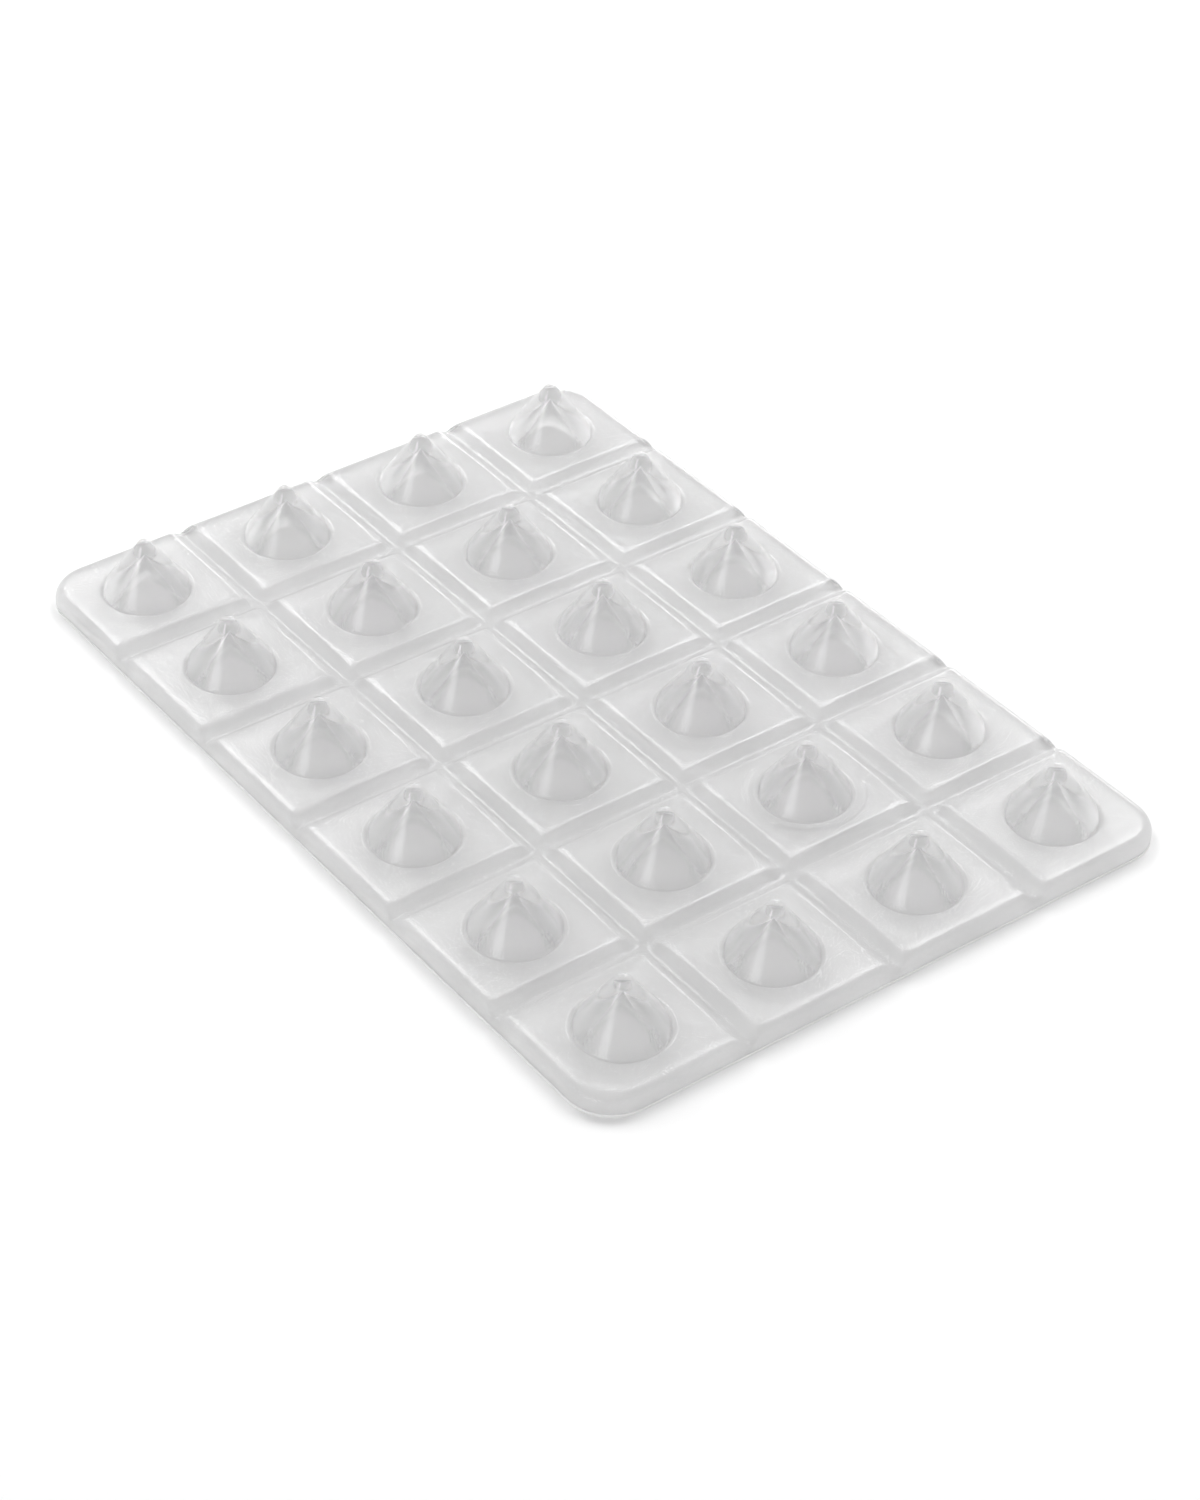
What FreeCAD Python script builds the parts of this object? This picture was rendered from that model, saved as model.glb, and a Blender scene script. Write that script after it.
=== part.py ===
import FreeCAD, Part
import math
import os

import Sketcher

# A stick-on traction pad for a snowboard deck: one soft moulded sheet of square cells with a hollow
# spike on each, an adhesive film under it and a release liner under that.
# Frame: millimetres, +Z up, X across the columns, Y along the rows, origin at the centre of the
# liner's underside. Row 1 is at -Y and column 1 at -X.

ROWS = 6
COLUMNS = 4
MARKED_TILE = (2, 3)
MARK_ARCS = ((20.0, 70.0), (110.0, 160.0), (200.0, 340.0))

DIMENSIONS = {
    "pitch_across": 25.4,
    "pitch_along": 24.4,
    "edge_trim": 0.3,
    "corner_radius": 7.0,
    "edge_radius": 1.9,
    "liner_thickness": 0.15,
    "adhesive_thickness": 0.25,
    "base_thickness": 2.7,
    "web_thickness": 1.4,
    "web_width": 0.8,
    "groove_half_width": 1.8,
    "spike_rise": 8.9,
    "foot_radius": 7.5,
    "foot_fillet": 0.6,
    "tip_radius": 1.4,
    "hollow_rise": 9.0,
    "hollow_radius": 5.2,
    "mark_radius": 8.7,
    "mark_width": 0.7,
    "mark_rise": 0.25,
}

# Heights above the floor, as expressions of the sheet.
ADHESIVE_Z = "Dims.liner_thickness"
MOULDING_Z = "Dims.liner_thickness + Dims.adhesive_thickness"
WEB_TOP_Z = MOULDING_Z + " + Dims.web_thickness"
FLAT_Z = MOULDING_Z + " + Dims.base_thickness"
CROWN_RISE = "Dims.base_thickness - Dims.web_thickness"

doc = FreeCAD.newDocument("traction_pad")
sheet = doc.addObject("Spreadsheet::Sheet", "Dims")
for line, (alias, value) in enumerate(DIMENSIONS.items(), start=1):
    sheet.set("A%d" % line, alias)
    sheet.set("B%d" % line, str(value))
    sheet.setAlias("B%d" % line, alias)
doc.recompute()


def bind(thing, **expressions):
    """Ties properties of an object to expressions of the sheet."""
    for name, expression in expressions.items():
        thing.setExpression(name, expression)


def place(thing, x="0", y="0", z="0"):
    """Ties an object's position to expressions of the sheet."""
    thing.setExpression("Placement.Base.x", x)
    thing.setExpression("Placement.Base.y", y)
    thing.setExpression("Placement.Base.z", z)


def primitive(kind, name, **expressions):
    thing = doc.addObject(kind, name)
    bind(thing, **expressions)
    return thing


def combine(kind, name, shapes):
    thing = doc.addObject(kind, name)
    thing.Shapes = shapes
    return thing


def subtract(name, base, tool):
    thing = doc.addObject("Part::Cut", name)
    thing.Base = base
    thing.Tool = tool
    return thing


def column_x(column):
    return "(%d - %g) * Dims.pitch_across" % (column, (COLUMNS + 1) / 2)


def row_y(row):
    return "(%d - %g) * Dims.pitch_along" % (row, (ROWS + 1) / 2)


def groove_y(row):
    """The transverse groove between this row and the next one."""
    return "(%d - %g) * Dims.pitch_along" % (row, ROWS / 2)


# The sheet's outline, used by every layer.


def add_line(sketch, start, end):
    a = FreeCAD.Vector(start[0], start[1], 0)
    b = FreeCAD.Vector(end[0], end[1], 0)
    return sketch.addGeometry(Part.LineSegment(a, b), False)


def add_arc(sketch, centre, radius, start_deg, end_deg):
    circle = Part.Circle(FreeCAD.Vector(centre[0], centre[1], 0), FreeCAD.Vector(0, 0, 1), radius)
    arc = Part.ArcOfCircle(circle, math.radians(start_deg), math.radians(end_deg))
    return sketch.addGeometry(arc, False)


def size_constraint(sketch, name, expression, *constraint):
    index = sketch.addConstraint(Sketcher.Constraint(*constraint))
    sketch.renameConstraint(index, name)
    sketch.setExpression("Constraints." + name, expression)


def origin_plane(body, role):
    return next(f for f in body.Origin.OriginFeatures if f.Role == role)


def outline_sketch(body, name):
    """A rounded rectangle, centred, of the pad's size."""
    sketch = body.newObject("Sketcher::SketchObject", name)
    sketch.AttachmentSupport = [(origin_plane(body, "XY_Plane"), "")]
    sketch.MapMode = "FlatFace"
    radius = DIMENSIONS["corner_radius"]
    half_x = COLUMNS * DIMENSIONS["pitch_across"] / 2 - DIMENSIONS["edge_trim"]
    half_y = ROWS * DIMENSIONS["pitch_along"] / 2 - DIMENSIONS["edge_trim"]
    inner_x = half_x - radius
    inner_y = half_y - radius
    bottom = add_line(sketch, (-inner_x, -half_y), (inner_x, -half_y))
    right = add_line(sketch, (half_x, -inner_y), (half_x, inner_y))
    top = add_line(sketch, (inner_x, half_y), (-inner_x, half_y))
    left = add_line(sketch, (-half_x, inner_y), (-half_x, -inner_y))
    corners = [
        add_arc(sketch, (inner_x, -inner_y), radius, 270, 360),
        add_arc(sketch, (inner_x, inner_y), radius, 0, 90),
        add_arc(sketch, (-inner_x, inner_y), radius, 90, 180),
        add_arc(sketch, (-inner_x, -inner_y), radius, 180, 270),
    ]
    sides = [bottom, right, top, left]
    for index, corner in enumerate(corners):
        after = sides[(index + 1) % 4]
        sketch.addConstraint(Sketcher.Constraint("Tangent", sides[index], 2, corner, 1))
        sketch.addConstraint(Sketcher.Constraint("Tangent", corner, 2, after, 1))
    for corner in corners[1:]:
        sketch.addConstraint(Sketcher.Constraint("Equal", corners[0], corner))
    for side, kind in zip(sides, ("Horizontal", "Vertical", "Horizontal", "Vertical")):
        sketch.addConstraint(Sketcher.Constraint(kind, side))
    size_constraint(sketch, "corner", "Dims.corner_radius", "Radius", corners[0], radius)
    reach_x = "%d * Dims.pitch_across / 2 - Dims.edge_trim" % COLUMNS
    reach_y = "%d * Dims.pitch_along / 2 - Dims.edge_trim" % ROWS
    size_constraint(sketch, "to_right", reach_x, "DistanceX", -1, 1, right, 1, half_x)
    size_constraint(sketch, "to_left", reach_x, "DistanceX", left, 1, -1, 1, half_x)
    size_constraint(sketch, "to_top", reach_y, "DistanceY", -1, 1, top, 1, half_y)
    size_constraint(sketch, "to_bottom", reach_y, "DistanceY", bottom, 1, -1, 1, half_y)
    return sketch


def layer_body(name, thickness, z):
    """The outline, padded up from a height."""
    body = doc.addObject("PartDesign::Body", name)
    sketch = outline_sketch(body, name + "_outline")
    pad = body.newObject("PartDesign::Pad", name + "_pad")
    pad.Profile = sketch
    bind(pad, Length=thickness)
    place(body, z=z)
    doc.recompute()
    return body


def round_top_edge(body):
    """Rounds the rim of the moulded sheet's upper face."""
    pad = body.Tip
    top = pad.Shape.BoundBox.ZMax
    rim = []
    for index, edge in enumerate(pad.Shape.Edges, start=1):
        if all(abs(vertex.Z - top) < 1e-6 for vertex in edge.Vertexes):
            rim.append("Edge%d" % index)
    fillet = body.newObject("PartDesign::Fillet", body.Name + "_rim")
    fillet.Base = (pad, rim)
    bind(fillet, Radius="Dims.edge_radius")
    doc.recompute()


# The spike and its hollow, as half profiles turned about each cell's axis.


def profile_sketch(name):
    sketch = doc.addObject("Sketcher::SketchObject", name)
    sketch.Placement.Rotation = FreeCAD.Rotation(FreeCAD.Vector(1, 0, 0), 90)
    return sketch


def spike_profile():
    """Half section: a rounded tip, a straight flank and a fillet that runs out on the flat."""
    size = DIMENSIONS
    flat = size["liner_thickness"] + size["adhesive_thickness"] + size["base_thickness"]
    sunk = flat - size["base_thickness"] / 2
    apex = flat + size["spike_rise"]
    foot = size["foot_radius"]
    slope = math.atan2(size["spike_rise"], foot)
    tip_centre = (0, apex - size["tip_radius"])
    fillet_centre = (foot, flat + size["foot_fillet"])
    outward = (math.sin(slope), math.cos(slope))
    tip_end = [c + size["tip_radius"] * o for c, o in zip(tip_centre, outward)]
    flank_end = [c - size["foot_fillet"] * o for c, o in zip(fillet_centre, outward)]
    lean = 90 - math.degrees(slope)

    sketch = profile_sketch("spike_profile")
    axis = add_line(sketch, (0, apex), (0, sunk))
    under = add_line(sketch, (0, sunk), (foot, sunk))
    side = add_line(sketch, (foot, sunk), (foot, flat))
    fillet = add_arc(sketch, fillet_centre, size["foot_fillet"], 180 + lean, 270)
    flank = add_line(sketch, flank_end, tip_end)
    tip = add_arc(sketch, tip_centre, size["tip_radius"], lean, 90)
    joins = (
        ("Coincident", axis, 2, under, 1),
        ("Coincident", under, 2, side, 1),
        ("Coincident", side, 2, fillet, 2),
        ("Tangent", fillet, 1, flank, 1),
        ("Tangent", flank, 2, tip, 1),
        ("Coincident", tip, 2, axis, 1),
        ("Vertical", axis),
        ("Horizontal", under),
        ("Vertical", side),
        ("PointOnObject", axis, 1, -2),
        ("PointOnObject", tip, 3, -2),
        ("Vertical", fillet, 3, side, 2),
    )
    for join in joins:
        sketch.addConstraint(Sketcher.Constraint(*join))
    apex_expression = FLAT_Z + " + Dims.spike_rise"
    sunk_expression = FLAT_Z + " - Dims.base_thickness / 2"
    size_constraint(sketch, "tip_size", "Dims.tip_radius", "Radius", tip, size["tip_radius"])
    size_constraint(sketch, "fillet_size", "Dims.foot_fillet", "Radius", fillet, size["foot_fillet"])
    size_constraint(sketch, "foot", "Dims.foot_radius", "DistanceX", -1, 1, side, 2, foot)
    size_constraint(sketch, "flat", FLAT_Z, "DistanceY", -1, 1, side, 2, flat)
    size_constraint(sketch, "apex", apex_expression, "DistanceY", -1, 1, axis, 1, apex)
    size_constraint(sketch, "sunk", sunk_expression, "DistanceY", -1, 1, axis, 2, sunk)
    return sketch


def revolve(profile, name, x, y):
    turned = doc.addObject("Part::Revolution", name)
    turned.Source = profile
    turned.Axis = FreeCAD.Vector(0, 0, 1)
    turned.Base = FreeCAD.Vector(0, 0, 0)
    turned.Angle = 360
    turned.Solid = True
    place(turned, x, y)
    return turned


# The cells.


def crown(name, x, y, insets):
    """The sloped block above the webs. insets: for each side (lower X, upper X, lower Y, upper Y),
    how far it leans in by the top and the gap left at its foot."""
    wedge = doc.addObject("Part::Wedge", name)
    half_x = "Dims.pitch_across / 2"
    half_y = "Dims.pitch_along / 2"
    (lean_xl, gap_xl), (lean_xh, gap_xh), (lean_yl, gap_yl), (lean_yh, gap_yh) = insets
    # The primitive rises along its own Y, so it is turned to rise along Z; its Z is then -Y.
    bind(
        wedge,
        Xmin="-(%s) + %s" % (half_x, gap_xl),
        Xmax="%s - %s" % (half_x, gap_xh),
        X2min="-(%s) + %s + %s" % (half_x, gap_xl, lean_xl),
        X2max="%s - %s - %s" % (half_x, gap_xh, lean_xh),
        Zmin="-(%s) + %s" % (half_y, gap_yh),
        Zmax="%s - %s" % (half_y, gap_yl),
        Z2min="-(%s) + %s + %s" % (half_y, gap_yh, lean_yh),
        Z2max="%s - %s - %s" % (half_y, gap_yl, lean_yl),
        Ymin="0",
        Ymax=CROWN_RISE,
    )
    wedge.Placement.Rotation = FreeCAD.Rotation(FreeCAD.Vector(1, 0, 0), 90)
    place(wedge, x, y, WEB_TOP_Z)
    return wedge


def mark_arcs(name, x, y):
    """Plain raised arcs round the spike of one cell."""
    arcs = []
    for index, (start, end) in enumerate(MARK_ARCS):
        outer = primitive(
            "Part::Cylinder",
            "%s_outer_%d" % (name, index),
            Radius="Dims.mark_radius + Dims.mark_width / 2",
            Height="Dims.base_thickness / 2 + Dims.mark_rise",
        )
        outer.Angle = end - start
        outer.Placement.Rotation = FreeCAD.Rotation(FreeCAD.Vector(0, 0, 1), start)
        place(outer, x, y, FLAT_Z + " - Dims.base_thickness / 2")
        inner = primitive(
            "Part::Cylinder",
            "%s_inner_%d" % (name, index),
            Radius="Dims.mark_radius - Dims.mark_width / 2",
            Height="Dims.base_thickness",
        )
        place(inner, x, y, FLAT_Z + " - Dims.base_thickness / 2")
        arcs.append(subtract("%s_arc_%d" % (name, index), outer, inner))
    return arcs


def make_tile(row, column, blank, spike):
    """One cell: its share of the moulded sheet, with a hollow spike in the middle."""
    name = "tile_r%d_c%d" % (row, column)
    x = column_x(column)
    y = row_y(row)
    groove = ("Dims.groove_half_width", "0")
    hinge = ("Dims.groove_half_width", "Dims.web_width / 2")
    rim = ("0", "0")
    low_x = rim if column == 1 else groove
    high_x = rim if column == COLUMNS else groove
    low_y = rim if row == 1 else hinge
    high_y = rim if row == ROWS else hinge

    web = primitive(
        "Part::Box",
        name + "_web",
        Length="Dims.pitch_across",
        Width="Dims.pitch_along - %s - %s" % (low_y[1], high_y[1]),
        Height="Dims.web_thickness",
    )
    place(
        web,
        x + " - Dims.pitch_across / 2",
        y + " - Dims.pitch_along / 2 + " + low_y[1],
        MOULDING_Z,
    )
    block = crown(name + "_crown", x, y, (low_x, high_x, low_y, high_y))
    cell = combine("Part::MultiFuse", name + "_cell", [web, block])
    trimmed = combine("Part::MultiCommon", name + "_trimmed", [cell, blank])
    raised = [trimmed, revolve(spike, name + "_spike", x, y)]
    if (row, column) == MARKED_TILE:
        raised += mark_arcs(name + "_mark", x, y)
    solid = combine("Part::MultiFuse", name + "_solid", raised)
    inside = primitive(
        "Part::Cone",
        name + "_hollow",
        Radius1="Dims.hollow_radius",
        Height="Dims.hollow_rise",
    )
    inside.Radius2 = 0
    place(inside, x, y, MOULDING_Z)
    tile = subtract(name, solid, inside)
    tile.Label = name
    return tile


# The strips that cross the pad.


def cross_strip(name, y_low, width, thickness, z, blank):
    """A strip across the whole pad, trimmed to the outline of its layer."""
    bar = primitive(
        "Part::Box",
        name + "_bar",
        Length="%d * Dims.pitch_across" % COLUMNS,
        Width=width,
        Height=thickness,
    )
    place(bar, "-%g * Dims.pitch_across" % (COLUMNS / 2), y_low, z)
    strip = combine("Part::MultiCommon", name, [bar, blank])
    strip.Label = name
    return strip


def make_flex_web(row, blank):
    """The thin bridge left under a transverse groove, where the sheet bends."""
    y_low = groove_y(row) + " - Dims.web_width / 2"
    return cross_strip(
        "flex_web_%d" % row, y_low, "Dims.web_width", "Dims.web_thickness", MOULDING_Z, blank
    )


def make_adhesive(row, blank):
    """The film under one row, parted at the grooves so that the row can turn."""
    low = "0" if row == 1 else "Dims.web_width / 2"
    high = "0" if row == ROWS else "Dims.web_width / 2"
    y_low = row_y(row) + " - Dims.pitch_along / 2 + " + low
    width = "Dims.pitch_along - %s - %s" % (low, high)
    return cross_strip(
        "adhesive_row_%d" % row, y_low, width, "Dims.adhesive_thickness", ADHESIVE_Z, blank
    )


moulding_blank = layer_body("moulding_blank", "Dims.base_thickness", MOULDING_Z)
round_top_edge(moulding_blank)
adhesive_blank = layer_body("adhesive_blank", "Dims.adhesive_thickness", ADHESIVE_Z)
liner = layer_body("release_liner", "Dims.liner_thickness", "0")
liner.Label = "release_liner"
spike = spike_profile()
doc.recompute()

parts = [liner]
for row in range(1, ROWS + 1):
    parts.append(make_adhesive(row, adhesive_blank))
    for column in range(1, COLUMNS + 1):
        parts.append(make_tile(row, column, moulding_blank, spike))
for row in range(1, ROWS):
    parts.append(make_flex_web(row, moulding_blank))
doc.recompute()

for thing in doc.Objects:
    if "Invalid" in thing.State or "Error" in thing.State:
        raise RuntimeError("%s did not build: %s" % (thing.Name, thing.State))
for part in parts:
    if part.Shape.isNull() or not part.Shape.isValid() or len(part.Shape.Solids) != 1:
        raise RuntimeError("%s is not one valid solid" % part.Label)

os.makedirs("parts", exist_ok=True)
for part in parts:
    part.Shape.exportStep("parts/%s.step" % part.Label)
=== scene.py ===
import math

import bmesh
import bpy
import numpy as np
from mathutils import Matrix, Vector


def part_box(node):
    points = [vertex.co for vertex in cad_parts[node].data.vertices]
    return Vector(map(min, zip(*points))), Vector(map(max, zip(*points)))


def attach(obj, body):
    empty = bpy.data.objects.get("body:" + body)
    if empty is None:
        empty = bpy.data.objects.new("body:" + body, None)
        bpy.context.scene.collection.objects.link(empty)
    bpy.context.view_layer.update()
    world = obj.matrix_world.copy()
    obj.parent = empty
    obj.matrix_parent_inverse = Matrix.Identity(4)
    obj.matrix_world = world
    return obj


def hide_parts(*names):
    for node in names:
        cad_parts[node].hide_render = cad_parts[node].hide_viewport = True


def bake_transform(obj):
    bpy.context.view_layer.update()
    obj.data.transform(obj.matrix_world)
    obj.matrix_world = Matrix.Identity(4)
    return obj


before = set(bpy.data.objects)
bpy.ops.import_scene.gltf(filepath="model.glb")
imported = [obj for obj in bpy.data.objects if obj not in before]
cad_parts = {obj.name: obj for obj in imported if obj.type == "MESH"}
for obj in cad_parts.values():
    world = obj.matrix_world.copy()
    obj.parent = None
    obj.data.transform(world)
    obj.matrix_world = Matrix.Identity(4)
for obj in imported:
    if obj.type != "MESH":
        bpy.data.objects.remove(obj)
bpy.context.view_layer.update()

# Lengths below are millimetres in the part's frame, and become metres as a mesh is made.
MM = 0.001
ROWS = 6
COLUMNS = 4
# The row that lies on the liner; its cells give the cut line that every inner row shares.
BASE_ROW = 3


def cad_box(node):
    low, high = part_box(node)
    return [[round(value / MM, 3) for value in corner] for corner in (low, high)]


# What the CAD part says.
LINER_HIGH = cad_box("release_liner")[1]
HALF_X, HALF_Y = LINER_HIGH[:2]
WEB_LOW, WEB_HIGH = cad_box("flex_web_3")
TILE_LOW, TILE_HIGH = cad_box("tile_r3_c2")
PITCH_X = TILE_HIGH[0] - TILE_LOW[0]
PITCH_Y = cad_box("flex_web_4")[0][1] - WEB_LOW[1]
UNDER_Z = WEB_LOW[2]
VALLEY_Z = WEB_HIGH[2]
# The film keeps a hair's breadth from its neighbours, so that no two faces share a place.
CLEARANCE = 0.01
FILM_LOW_Z = LINER_HIGH[2] + CLEARANCE
FILM_TOP_Z = UNDER_Z - CLEARANCE
APEX_Z = TILE_HIGH[2]

# The moulding's own shape.
BASE_THICKNESS = 2.7
FLAT_Z = UNDER_Z + BASE_THICKNESS
CORNER_R = 7.0
RIM_R = 1.9
GROOVE_HALF = 1.8
VALLEY_R = 0.35
CELL_CORNER_R = 1.6
# The strips over the cross grooves reach this far to each side, and the rows stop there.
BEND_HALF = 1.0
FOOT_R = 7.5
FOOT_FILLET = 0.6
TIP_R = 1.4
HOLLOW_R = 5.2
HOLLOW_APEX_Z = 9.4
HOLLOW_DIP = 0.025
# The wall's lowest edge is cut back by this much.
LIP = 0.08
MARKED_CELL = (2, 3)
MARK_ARCS = ((20, 70), (110, 160), (200, 340))
MARK_R = 8.7
MARK_HALF = 0.35
MARK_RISE = 0.25
MARK_FADE = 0.25
MARK_FADE_DEG = 4

# How finely the meshes are cut, and where their rings lie.
PER_SIDE = 32
RINGS = 12
BEND_CUTS = 16
FILLET_CUTS = 8
FLANK_CUTS = 8
TIP_CUTS = 9
SHARP_DEG = 60
# Points that agree when rounded to this many parts of a millimetre are one point.
PLACES_PER_MM = 1e4
ON_RIM = 1e-3
RIM_SHOULDER = 2.5
CIRCLE_R = 9.3
CIRCLE_SHARES = (0.2, 0.4, 0.6, 0.8, 1)
FOOT_RADII = (9.1, 8.95, 8.8, 8.6, 8.45, 8.3, 8.05, 7.8, 7.6)


def rounded_inset(x, y, half_x, half_y, radius):
    """How far each point is inside a centred rectangle with rounded corners."""
    qx = radius - (half_x - np.abs(x))
    qy = radius - (half_y - np.abs(y))
    outside = np.hypot(np.maximum(qx, 0), np.maximum(qy, 0))
    return radius - outside - np.minimum(np.maximum(qx, qy), 0)


def groove_y(row):
    """Middle of the groove between a row and the next one."""
    return (row - ROWS / 2) * PITCH_Y


def nearest_groove(value, pitch, count):
    """Distance to the nearest of the grooves between count cells."""
    lines = (np.arange(1, count) - count / 2) * pitch
    return np.abs(np.asarray(value)[..., None] - lines).min(-1)


def top_z(x, y):
    """Height of the moulding's upper face outside the spikes."""
    gap_x = nearest_groove(x, PITCH_X, COLUMNS)
    gap_y = nearest_groove(y, PITCH_Y, ROWS)
    qx = CELL_CORNER_R - gap_x
    qy = CELL_CORNER_R - gap_y
    inside = CELL_CORNER_R - np.hypot(np.maximum(qx, 0), np.maximum(qy, 0))
    inside = np.maximum(inside - np.minimum(np.maximum(qx, qy), 0), 0)
    inside = np.sqrt(inside**2 + VALLEY_R**2) - VALLEY_R
    depth = FLAT_Z - VALLEY_Z
    groove = depth * np.clip(1 - inside / GROOVE_HALF, 0, 1)
    edge = np.clip(RIM_R - rounded_inset(x, y, HALF_X, HALF_Y, CORNER_R), 0, RIM_R)
    rim = RIM_R - np.sqrt(np.maximum(RIM_R**2 - edge**2, 0))
    return FLAT_Z - np.cbrt(groove**3 + rim**3)


def smooth_step(value):
    value = np.clip(value, 0, 1)
    return value * value * (3 - 2 * value)


def mark_z(dx, dy):
    """Rise of the plain arcs round one spike."""
    radius = np.hypot(dx, dy)
    turn = np.degrees(np.arctan2(dy, dx)) % 360
    rise = 0
    for start, end in MARK_ARCS:
        fade_in = smooth_step((turn - start) / MARK_FADE_DEG)
        rise = rise + fade_in * smooth_step((end - turn) / MARK_FADE_DEG)
    return MARK_RISE * rise * smooth_step((MARK_HALF - np.abs(radius - MARK_R)) / MARK_FADE)


# How far along a side of a cell each point lies, closer together towards the ends.
SHARES = np.sin(np.linspace(-0.5, 0.5, PER_SIDE + 1) * math.pi) / 2 + 0.5
STEPS = np.linspace(0, 1, RINGS)
# How far in from each kind of side the rings lie, closer together towards the side.
INSETS = {
    "groove": GROOVE_HALF * STEPS**1.5,
    "web": (GROOVE_HALF - BEND_HALF) * STEPS**1.3,
    "rim": np.append(RIM_R * (1 - np.cos(np.linspace(0, math.pi / 2, RINGS - 1))), RIM_SHOULDER),
}
# The round rings start at the south-west corner, as the square ones do.
TURNS = np.radians(-135 + np.arange(4 * PER_SIDE) * 90 / PER_SIDE)
ROUND = np.stack([np.cos(TURNS), np.sin(TURNS)], 1)


def spike_profile():
    """(radius, height) from the foot to the tip, without the tip's own point."""
    tip_z = APEX_Z - TIP_R
    foot_z = FLAT_Z + FOOT_FILLET
    rise = tip_z - foot_z
    span = math.hypot(FOOT_R, rise)
    slope = math.atan2(rise, FOOT_R) + math.asin((TIP_R + FOOT_FILLET) / span)
    points = []
    for turn in np.linspace(0, slope, FILLET_CUTS + 1):
        points.append((FOOT_R - FOOT_FILLET * math.sin(turn), foot_z - FOOT_FILLET * math.cos(turn)))
    top = (TIP_R * math.sin(slope), tip_z + TIP_R * math.cos(slope))
    low = points[-1]
    for share in np.linspace(0, 1, FLANK_CUTS + 1)[1:-1]:
        points.append(tuple(a + (b - a) * share for a, b in zip(low, top)))
    for turn in np.linspace(slope, 0, TIP_CUTS + 1)[:-1]:
        points.append((TIP_R * math.sin(turn), tip_z + TIP_R * math.cos(turn)))
    return points


PROFILE = spike_profile()


def walk(start, end, whole, arc_first, arc_last, radius):
    """Points along one side of a cell. A side that meets the pad's corner follows its arc half way."""
    if not (arc_first or arc_last):
        return start + SHARES[:-1, None] * (end - start)
    near, far, shares = (end, start, 1 - SHARES) if arc_first else (start, end, SHARES)
    along = (far - near) / np.linalg.norm(far - near)
    inward = np.array([along[1], -along[0]]) if arc_first else np.array([-along[1], along[0]])
    tangent = far - along * radius
    centre = tangent + inward * radius
    straight = whole - CORNER_R
    way = shares * (straight + CORNER_R * math.pi / 4)
    turn = np.maximum(way - straight, 0)[:, None] / CORNER_R
    line = near + (way / straight)[:, None] * (tangent - near)
    arc = centre + radius * (np.sin(turn) * along - np.cos(turn) * inward)
    return np.where(way[:, None] <= straight, line, arc)[:-1]


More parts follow.
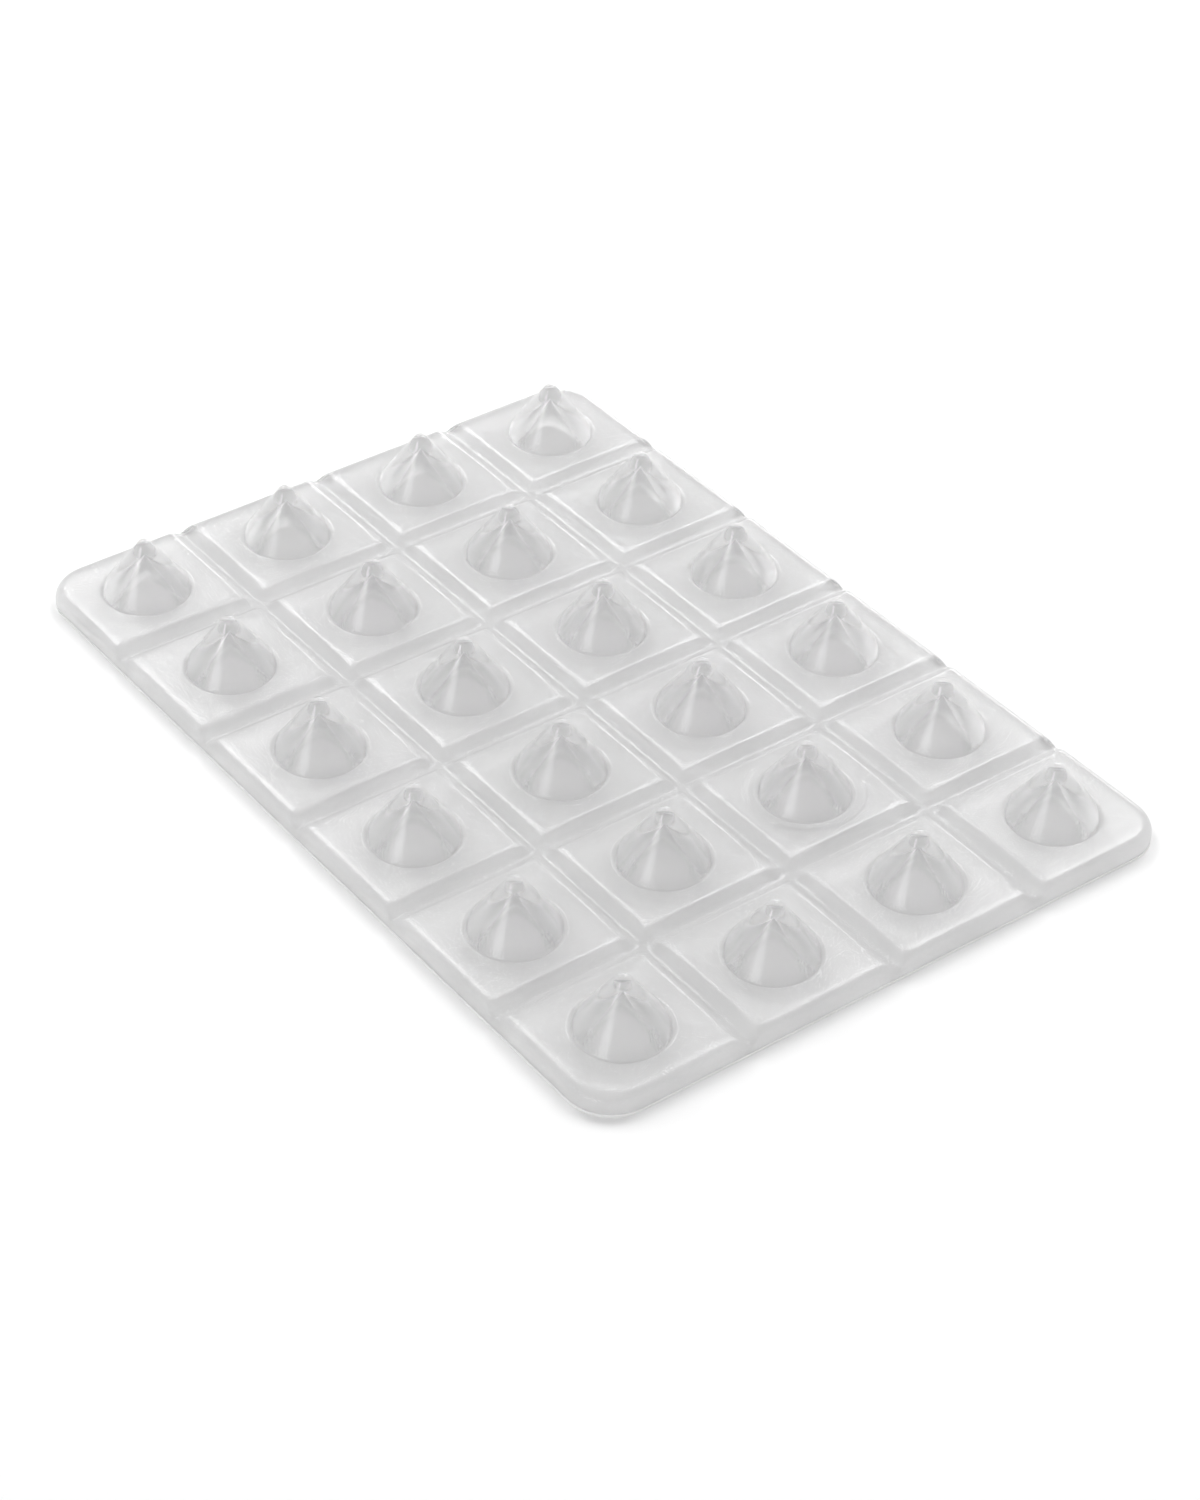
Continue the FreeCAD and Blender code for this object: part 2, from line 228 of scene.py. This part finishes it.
class Cell:
    """One cell's share of its row: its box, what lies along each side, and its rings of points."""

    def __init__(self, row, column):
        self.centre = np.array(
            [(column - (COLUMNS + 1) / 2) * PITCH_X, (row - (ROWS + 1) / 2) * PITCH_Y]
        )
        self.marked = (row, column) == MARKED_CELL
        # South, east, north, west.
        self.kinds = [
            "rim" if row == 1 else "web",
            "rim" if column == COLUMNS else "groove",
            "rim" if row == ROWS else "web",
            "rim" if column == 1 else "groove",
        ]
        half_x, half_y = PITCH_X / 2, PITCH_Y / 2
        self.low = self.centre - (half_x, half_y - (0 if row == 1 else BEND_HALF))
        self.high = self.centre + (half_x, half_y - (0 if row == ROWS else BEND_HALF))
        self.low = np.maximum(self.low, (-HALF_X, -HALF_Y))
        self.high = np.minimum(self.high, (HALF_X, HALF_Y))

    def corners(self, insets):
        """The four corners, from the south-west one, with each side moved in by its inset."""
        south, east, north, west = insets
        x0, y0 = self.low[0] + west, self.low[1] + south
        x1, y1 = self.high[0] - east, self.high[1] - north
        return [np.array(p) for p in ((x0, y0), (x1, y0), (x1, y1), (x0, y1))]

    def ring(self, insets):
        """One closed ring of points, PER_SIDE to a side."""
        whole = self.corners((0, 0, 0, 0))
        now = self.corners(insets)
        points = []
        for side in range(4):
            last = (side + 1) % 4
            arc_first = self.kinds[side] == self.kinds[side - 1] == "rim"
            arc_last = self.kinds[side] == self.kinds[last] == "rim"
            length = np.linalg.norm(whole[last] - whole[side])
            points.append(
                walk(now[side], now[last], length, arc_first, arc_last, CORNER_R - insets[side])
            )
        return np.concatenate(points)

    def top_rings(self):
        """Rings of the upper face from the cell's sides to the tip, and the tip's own point."""
        rings = []
        for step in range(RINGS):
            plan = self.ring([INSETS[kind][step] for kind in self.kinds])
            rings.append(np.column_stack([plan, top_z(plan[:, 0], plan[:, 1])]))
        square = rings[-1][:, :2]
        to_circle = [(CIRCLE_R, share) for share in CIRCLE_SHARES]
        to_foot = [(radius, 1) for radius in FOOT_RADII]
        for radius, share in to_circle + to_foot:
            plan = square + (self.centre + ROUND * radius - square) * share
            height = top_z(plan[:, 0], plan[:, 1])
            if self.marked:
                height = height + mark_z(*(plan - self.centre).T)
            rings.append(np.column_stack([plan, height]))
        for radius, height in PROFILE:
            plan = self.centre + ROUND * radius
            rings.append(np.column_stack([plan, np.full(len(plan), height)]))
        return rings, np.array([*self.centre, APEX_Z])

    def under_rings(self):
        """Rings of the flat underside, and those of the hollow in it."""
        low = self.ring([LIP if kind == "rim" else 0 for kind in self.kinds])
        rings = []
        for share in (0, 0.5, 1):
            plan = low + (self.centre + ROUND * HOLLOW_R - low) * share
            rings.append(np.column_stack([plan, np.full(len(plan), UNDER_Z)]))
        return rings, self.hollow_rings()

    def hollow_rings(self):
        """Rings up a conical hollow. The last one lies a little below the cone."""
        shares = np.append(np.linspace(0, 1, 13)[1:-1], [0.96, 0.985])
        rings = []
        for share in shares:
            plan = self.centre + ROUND * HOLLOW_R * (1 - share)
            height = UNDER_Z + (HOLLOW_APEX_Z - UNDER_Z) * share
            rings.append(np.column_stack([plan, np.full(len(plan), height)]))
        rings[-1][:, 2] -= HOLLOW_DIP
        return rings


# A piece's materials: what shows, and the faces where it meets its neighbours.
SKIN, JOIN = 0, 1


class Builder:
    """Collects points and faces; points at the same place become one."""

    def __init__(self):
        self.points = []
        self.lookup = {}
        self.faces = []
        self.slots = []

    def add(self, points):
        found = []
        for point in points:
            key = tuple(int(round(value * PLACES_PER_MM)) for value in point)
            if key not in self.lookup:
                self.lookup[key] = len(self.points)
                self.points.append([value * MM for value in point])
            found.append(self.lookup[key])
        return found

    def face(self, loop, slot):
        """One face, without repeated corners; one with fewer than three is dropped."""
        clean = [v for i, v in enumerate(loop) if v != loop[i - 1]]
        if len(set(clean)) > 2:
            self.faces.append(clean)
            self.slots.append(slot)

    def strip(self, first, second, slot, closed=True):
        count = len(first)
        for i in range(count if closed else count - 1):
            j = (i + 1) % count
            self.face([first[i], first[j], second[j], second[i]], slot)

    def fan(self, ring, tip, slot):
        for i in range(len(ring)):
            self.face([ring[i], ring[(i + 1) % len(ring)], tip], slot)

    def make(self, name, materials):
        mesh = bpy.data.meshes.new(name)
        mesh.from_pydata(self.points, [], self.faces)
        for material in materials:
            mesh.materials.append(material)
        mesh.polygons.foreach_set("material_index", self.slots)
        mesh.polygons.foreach_set("use_smooth", [True] * len(self.slots))
        work = bmesh.new()
        work.from_mesh(mesh)
        bmesh.ops.recalc_face_normals(work, faces=work.faces)
        work.to_mesh(mesh)
        work.free()
        mesh.set_sharp_from_angle(angle=math.radians(SHARP_DEG))
        mesh.update()
        piece = bpy.data.objects.new(name, mesh)
        bpy.context.scene.collection.objects.link(piece)
        return piece


def moulding_row(row, materials):
    """One row of cells: top, rim, hollows and the cut faces where it meets the webs."""
    build = Builder()
    for column in range(1, COLUMNS + 1):
        cell = Cell(row, column)
        rings, apex = cell.top_rings()
        rows = [build.add(ring) for ring in rings]
        for first, second in zip(rows, rows[1:]):
            build.strip(first, second, SKIN)
        build.fan(rows[-1], build.add([apex])[0], SKIN)
        under, hollow = cell.under_rings()
        below = [build.add(ring) for ring in under]
        for first, second in zip(below, below[1:]):
            build.strip(second, first, JOIN)
        inner = [below[-1]] + [build.add(ring) for ring in hollow]
        for first, second in zip(inner, inner[1:]):
            build.strip(second, first, SKIN)
        tip = build.add([[*cell.centre, HOLLOW_APEX_Z]])[0]
        build.fan(inner[-1][::-1], tip, SKIN)
        # The wall, side by side.
        low_plan = rings[0].copy()
        low_plan[:, 2] = UNDER_Z + LIP
        count = len(low_plan)
        on_rim = rounded_inset(rings[0][:, 0], rings[0][:, 1], HALF_X, HALF_Y, CORNER_R) < ON_RIM
        lows = build.add(low_plan[on_rim])
        low_of = dict(zip(np.flatnonzero(on_rim), lows))
        for side, kind in enumerate(cell.kinds):
            if kind == "groove":
                continue
            for step in range(PER_SIDE):
                i = side * PER_SIDE + step
                j = (i + 1) % count
                top_i, top_j, under_i, under_j = rows[0][i], rows[0][j], below[0][i], below[0][j]
                if kind == "rim":
                    build.face([under_i, under_j, low_of[j], low_of[i]], SKIN)
                    build.face([low_of[i], low_of[j], top_j, top_i], SKIN)
                else:
                    loop = [under_i, under_j, low_of.get(j), top_j, top_i, low_of.get(i)]
                    build.face([v for v in loop if v is not None], JOIN)
    return build.make("moulding_row_%d" % row, materials)


def cut_line():
    """X of every point along the cut between a row and a web, the same for every inner row."""
    xs = []
    for column in range(1, COLUMNS + 1):
        cell = Cell(BASE_ROW, column)
        xs.extend(cell.ring([0] * 4)[:PER_SIDE, 0])
    return np.append(xs, HALF_X)


def crossing_strip(name, row, low_z, top_of, materials, lip):
    """A strip over a groove, from rim to rim."""
    shares = np.sin(np.linspace(-0.5, 0.5, BEND_CUTS + 1) * math.pi)
    # The cuts lie closer together at the groove's middle and at both edges.
    ways = BEND_HALF * np.sign(shares) * np.abs(shares) ** 1.4
    xs = cut_line()
    build = Builder()
    tops, lows, unders = [], [], []
    under_xs = xs.copy()
    under_xs[0] += lip
    under_xs[-1] -= lip
    for way in ways:
        y = groove_y(row) + way
        ys = np.full(len(xs), y)
        tops.append(build.add(np.column_stack([xs, ys, top_of(xs, ys)])))
        unders.append(build.add(np.column_stack([under_xs, ys, np.full(len(xs), low_z)])))
        lows.append(build.add([[xs[0], y, low_z + lip], [xs[-1], y, low_z + lip]]))
    for k in range(len(ways) - 1):
        build.strip(tops[k + 1], tops[k], SKIN, closed=False)
        build.strip(unders[k], unders[k + 1], JOIN, closed=False)
        for side, end in ((0, 0), (1, -1)):
            build.face([lows[k][side], lows[k + 1][side], tops[k + 1][end], tops[k][end]], SKIN)
            if lip:
                build.face(
                    [unders[k][end], unders[k + 1][end], lows[k + 1][side], lows[k][side]], SKIN
                )
    last = len(xs) - 2
    for k in (0, -1):
        for i in range(last + 1):
            loop = [unders[k][i], unders[k][i + 1], tops[k][i + 1], tops[k][i]]
            if lip and i == 0:
                loop.append(lows[k][0])
            if lip and i == last:
                loop.insert(2, lows[k][1])
            build.face(loop, JOIN)
    return build.make(name, materials)


def film_top_z(xs, ys):
    return np.full(len(xs), FILM_TOP_Z)


def film_row(row, materials):
    """The adhesive under one row."""
    build = Builder()
    for column in range(1, COLUMNS + 1):
        cell = Cell(row, column)
        plan = cell.ring([0] * 4)
        rims = []
        for height in (FILM_LOW_Z, FILM_TOP_Z):
            rims.append(build.add(np.column_stack([plan, np.full(len(plan), height)])))
            middle = build.add([[*cell.centre, height]])[0]
            build.fan(rims[-1] if height == FILM_TOP_Z else rims[-1][::-1], middle, SKIN)
        for side, kind in enumerate(cell.kinds):
            if kind != "groove":
                span = range(side * PER_SIDE, (side + 1) * PER_SIDE + 1)
                low, high = ([rim[i % len(rim)] for i in span] for rim in rims)
                build.strip(low, high, SKIN, closed=False)
    return build.make("adhesive_film_%d" % row, materials)


# Materials.


def new_material(name):
    material = bpy.data.materials.new(name)
    material.use_nodes = True
    return material, material.node_tree, material.node_tree.nodes["Principled BSDF"]


def noise(tree, coordinates, size_mm, detail=2.0, roughness=0.5):
    """Soft patches of about the given size."""
    node = tree.nodes.new("ShaderNodeTexNoise")
    node.inputs["Scale"].default_value = 1 / (size_mm * MM)
    node.inputs["Detail"].default_value = detail
    node.inputs["Roughness"].default_value = roughness
    tree.links.new(coordinates.outputs["Object"], node.inputs["Vector"])
    return node.outputs["Fac"]


def ramp(tree, value, given, wanted, smooth=False):
    """The value, moved from the given range to the wanted one and kept in it."""
    node = tree.nodes.new("ShaderNodeMapRange")
    if smooth:
        node.interpolation_type = "SMOOTHSTEP"
    node.inputs["From Min"].default_value, node.inputs["From Max"].default_value = given
    node.inputs["To Min"].default_value, node.inputs["To Max"].default_value = wanted
    tree.links.new(value, node.inputs["Value"])
    return node.outputs["Result"]


def spread(tree, value, low, high):
    """Noise lies mostly between 0.3 and 0.7, and is stretched to low and high."""
    return ramp(tree, value, (0.3, 0.7), (low, high))


def combine(tree, operation, first, second):
    node = tree.nodes.new("ShaderNodeMath")
    node.operation = operation
    tree.links.new(first, node.inputs[0])
    tree.links.new(second, node.inputs[1])
    return node.outputs["Value"]


def bump(tree, height, distance_mm, strength, before=None):
    node = tree.nodes.new("ShaderNodeBump")
    node.inputs["Distance"].default_value = distance_mm * MM
    node.inputs["Strength"].default_value = strength
    tree.links.new(height, node.inputs["Height"])
    if before is not None:
        tree.links.new(before, node.inputs["Normal"])
    return node.outputs["Normal"]


def leather(tree, coordinates, size_mm, seam):
    """0 along the seams between small cells, 1 inside them."""
    cells = tree.nodes.new("ShaderNodeTexVoronoi")
    cells.feature = "DISTANCE_TO_EDGE"
    cells.inputs["Scale"].default_value = 1 / (size_mm * MM)
    tree.links.new(coordinates.outputs["Object"], cells.inputs["Vector"])
    return ramp(tree, cells.outputs["Distance"], (0, seam), (0, 1))


def tint(tree, value, low, high):
    node = tree.nodes.new("ShaderNodeMix")
    node.data_type = "RGBA"
    node.inputs[6].default_value = (*low, 1)
    node.inputs[7].default_value = (*high, 1)
    tree.links.new(value, node.inputs[0])
    return node.outputs[2]


# The moulding's grain: size, half-width of its seams as a share of that, depth, and the heights above
# the flats between which it fades out.
GRAIN_MM = 0.6
GRAIN_SEAM = 0.35
GRAIN_DEPTH_MM = 0.02
GRAIN_FADE = (0.3, 1.2)
WAVE_MM = 4.0
WAVE_DEPTH_MM = 0.05
CLOUD_MM = 14.0


def moulding_material():
    """Cloudy clear plastic with a fine leather grain, which fades out up the spikes. They take the
    seams' slightly darker tint all over."""
    material, tree, shader = new_material("frosted_clear_plastic")
    coordinates = tree.nodes.new("ShaderNodeTexCoord")
    shader.inputs["IOR"].default_value = 1.49
    shader.inputs["Transmission Weight"].default_value = 0.8
    place = tree.nodes.new("ShaderNodeSeparateXYZ")
    tree.links.new(coordinates.outputs["Object"], place.inputs["Vector"])
    fade = [(FLAT_Z + height) * MM for height in GRAIN_FADE]
    low_down = ramp(tree, place.outputs["Z"], fade, (1, 0))
    cells = leather(tree, coordinates, GRAIN_MM, GRAIN_SEAM)
    grain = combine(tree, "MULTIPLY", cells, low_down)
    cloud = spread(tree, noise(tree, coordinates, CLOUD_MM), 0, 1)
    cloudy = tint(tree, cloud, (0.98, 0.98, 0.98), (0.99, 0.985, 0.99))
    seams = tint(tree, grain, (0.95, 0.95, 0.95), (1, 1, 1))
    both = tree.nodes.new("ShaderNodeVectorMath")
    both.operation = "MULTIPLY"
    tree.links.new(cloudy, both.inputs[0])
    tree.links.new(seams, both.inputs[1])
    tree.links.new(both.outputs["Vector"], shader.inputs["Base Color"])
    tree.links.new(
        spread(tree, noise(tree, coordinates, 3.0), 0.16, 0.24), shader.inputs["Roughness"]
    )
    pebble = bump(tree, grain, GRAIN_DEPTH_MM, 1.0)
    waves = bump(tree, noise(tree, coordinates, WAVE_MM), WAVE_DEPTH_MM, 0.3, pebble)
    tree.links.new(waves, shader.inputs["Normal"])
    return material


def join_material():
    """Invisible, for the faces that touch the next piece: the cuts at the grooves and the underside."""
    material, _, shader = new_material("bonded_face")
    shader.inputs["Alpha"].default_value = 0
    return material


def adhesive_material():
    """A pale film with faint patches."""
    material, tree, shader = new_material("adhesive_film")
    coordinates = tree.nodes.new("ShaderNodeTexCoord")
    shader.inputs["IOR"].default_value = 1.47
    patches = spread(tree, noise(tree, coordinates, 9.0), 0, 1)
    colour = tint(tree, patches, (0.86, 0.86, 0.86), (0.88, 0.88, 0.88))
    tree.links.new(colour, shader.inputs["Base Color"])
    shader.inputs["Roughness"].default_value = 0.5
    return material


def liner_material():
    """A satin off-white film with faint fibres."""
    material, tree, shader = new_material("release_film")
    coordinates = tree.nodes.new("ShaderNodeTexCoord")
    mottle = spread(tree, noise(tree, coordinates, 1.2, 6.0, 0.6), 0, 1)
    colour = tint(tree, mottle, (0.80, 0.80, 0.79), (0.86, 0.86, 0.85))
    tree.links.new(colour, shader.inputs["Base Color"])
    shader.inputs["Roughness"].default_value = 0.42
    fibres = bump(tree, noise(tree, coordinates, 0.5, 4.0), 0.01, 0.5)
    tree.links.new(fibres, shader.inputs["Normal"])
    return material


plastic = moulding_material()
join = join_material()
film = adhesive_material()
release = liner_material()

for row in range(1, ROWS + 1):
    piece = moulding_row(row, [plastic, join])
    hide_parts(*["tile_r%d_c%d" % (row, column) for column in range(1, COLUMNS + 1)])
    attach(piece, "row_%d" % row)


for row in range(1, ROWS):
    piece = crossing_strip("flex_web_strip_%d" % row, row, UNDER_Z, top_z, [plastic, join], LIP)
    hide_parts("flex_web_%d" % row)
    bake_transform(piece)

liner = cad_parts["release_liner"]
for index in range(len(liner.data.materials)):
    liner.material_slots[index].material = release
for row in range(1, ROWS + 1):
    piece = film_row(row, [film])
    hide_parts("adhesive_row_%d" % row)
    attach(piece, "row_%d" % row)
for row in range(1, ROWS):
    piece = crossing_strip("adhesive_strip_%d" % row, row, FILM_LOW_Z, film_top_z, [film, film], 0)
    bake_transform(piece)

# The stage, in metres. Directions are degrees: turn from +X towards +Y, then rise above the floor.
LAMP_DISTANCE = 0.9
LAMP_SIZE = 0.42
LAMP_WATTS = 3.4
LAMPS = {"back": (84, 46), "right": (20, 50)}
FLOOR_HALF = 2.5
# Each glow: turn, rise, the angles where its fade starts and ends, its strength within and beyond.
SKY_TOP = (0, 90, (38, 72), (0.34, 1.0))
LEFT_WINDOW = (193, 30, (6, 14), (4.0, 0))
LOW_WINDOW = (42, 8, (8, 20), (3.0, 0))


def aim(obj, place, target):
    direction = Vector(target) - Vector(place)
    obj.location = place
    obj.rotation_euler = direction.to_track_quat("-Z", "Y").to_euler()


def area_light(name, place):
    """A square lamp that faces the middle of the pad."""
    lamp = bpy.data.lights.new(name, "AREA")
    lamp.shape = "RECTANGLE"
    lamp.size = LAMP_SIZE
    lamp.size_y = LAMP_SIZE
    lamp.energy = LAMP_WATTS
    holder = bpy.data.objects.new(name, lamp)
    bpy.context.scene.collection.objects.link(holder)
    aim(holder, place, (0, 0, 0))


def from_direction(turn_deg, rise_deg, distance):
    turn, rise = math.radians(turn_deg), math.radians(rise_deg)
    flat = distance * math.cos(rise)
    return flat * math.cos(turn), flat * math.sin(turn), distance * math.sin(rise)


def glow(tree, coordinates, turn_deg, rise_deg, reach_deg, strength):
    """Light of strength[0] round one direction of the sky, that fades to strength[1] outside."""
    facing = tree.nodes.new("ShaderNodeVectorMath")
    facing.operation = "DOT_PRODUCT"
    facing.inputs[1].default_value = from_direction(turn_deg, rise_deg, 1)
    tree.links.new(coordinates.outputs["Generated"], facing.inputs[0])
    inner, outer = (math.cos(math.radians(angle)) for angle in reach_deg)
    return ramp(tree, facing.outputs["Value"], (outer, inner), strength[::-1], smooth=True)


def studio_sky():
    """A white sky with a darker top, a window to the camera's left and a low one beyond the pad."""
    world = bpy.data.worlds.new("studio")
    bpy.context.scene.world = world
    world.use_nodes = True
    tree = world.node_tree
    coordinates = tree.nodes.new("ShaderNodeTexCoord")
    sky = glow(tree, coordinates, *SKY_TOP)
    for window in (LEFT_WINDOW, LOW_WINDOW):
        sky = combine(tree, "ADD", sky, glow(tree, coordinates, *window))
    background = tree.nodes["Background"]
    background.inputs["Color"].default_value = (1, 1, 1, 1)
    tree.links.new(sky, background.inputs["Strength"])


def paper_floor():
    """A large sheet of matt white paper under the pad."""
    mesh = bpy.data.meshes.new("floor")
    corners = [(x * FLOOR_HALF, y * FLOOR_HALF, 0) for x, y in ((-1, -1), (1, -1), (1, 1), (-1, 1))]
    mesh.from_pydata(corners, [], [(0, 1, 2, 3)])
    paper, _, shader = new_material("paper")
    shader.inputs["Base Color"].default_value = (0.92, 0.92, 0.92, 1)
    shader.inputs["Roughness"].default_value = 0.9
    mesh.materials.append(paper)
    floor = bpy.data.objects.new("floor", mesh)
    bpy.context.scene.collection.objects.link(floor)
    return floor


studio_sky()
for name, (turn_deg, rise_deg) in LAMPS.items():
    area_light(name, from_direction(turn_deg, rise_deg, LAMP_DISTANCE))
paper_floor()

# The camera. The sensor's side lies along the taller side of the picture.
EYE = Vector((-248.5, -335.1, 320.1)) * MM
HEADING = math.radians(53.06)
TILT = math.radians(38.09)
ROLL = math.radians(0.875)
SENSOR_MM = 36
LENS_MM = 85.056
NEAREST = 0.01
forward = Vector(
    (math.cos(TILT) * math.cos(HEADING), math.cos(TILT) * math.sin(HEADING), -math.sin(TILT))
)
level = Vector((math.sin(HEADING), -math.cos(HEADING), 0))
upright = level.cross(forward)
right = level * math.cos(ROLL) + upright * math.sin(ROLL)
up = right.cross(forward)
lens = bpy.data.cameras.new("camera")
lens.sensor_width = SENSOR_MM
lens.lens = LENS_MM
lens.clip_start = NEAREST
camera = bpy.data.objects.new("camera", lens)
bpy.context.scene.collection.objects.link(camera)
camera.matrix_world = Matrix.Translation(EYE) @ Matrix((right, up, -forward)).transposed().to_4x4()
bpy.context.scene.camera = camera

scene = bpy.context.scene
scene.view_settings.view_transform = "Standard"
scene.cycles.use_denoising = True
scene.cycles.sample_clamp_indirect = 10.0
scene.cycles.max_bounces = 32
scene.cycles.transparent_max_bounces = 64
scene.cycles.glossy_bounces = 16
scene.cycles.transmission_bounces = 24
scene.cycles.diffuse_bounces = 12
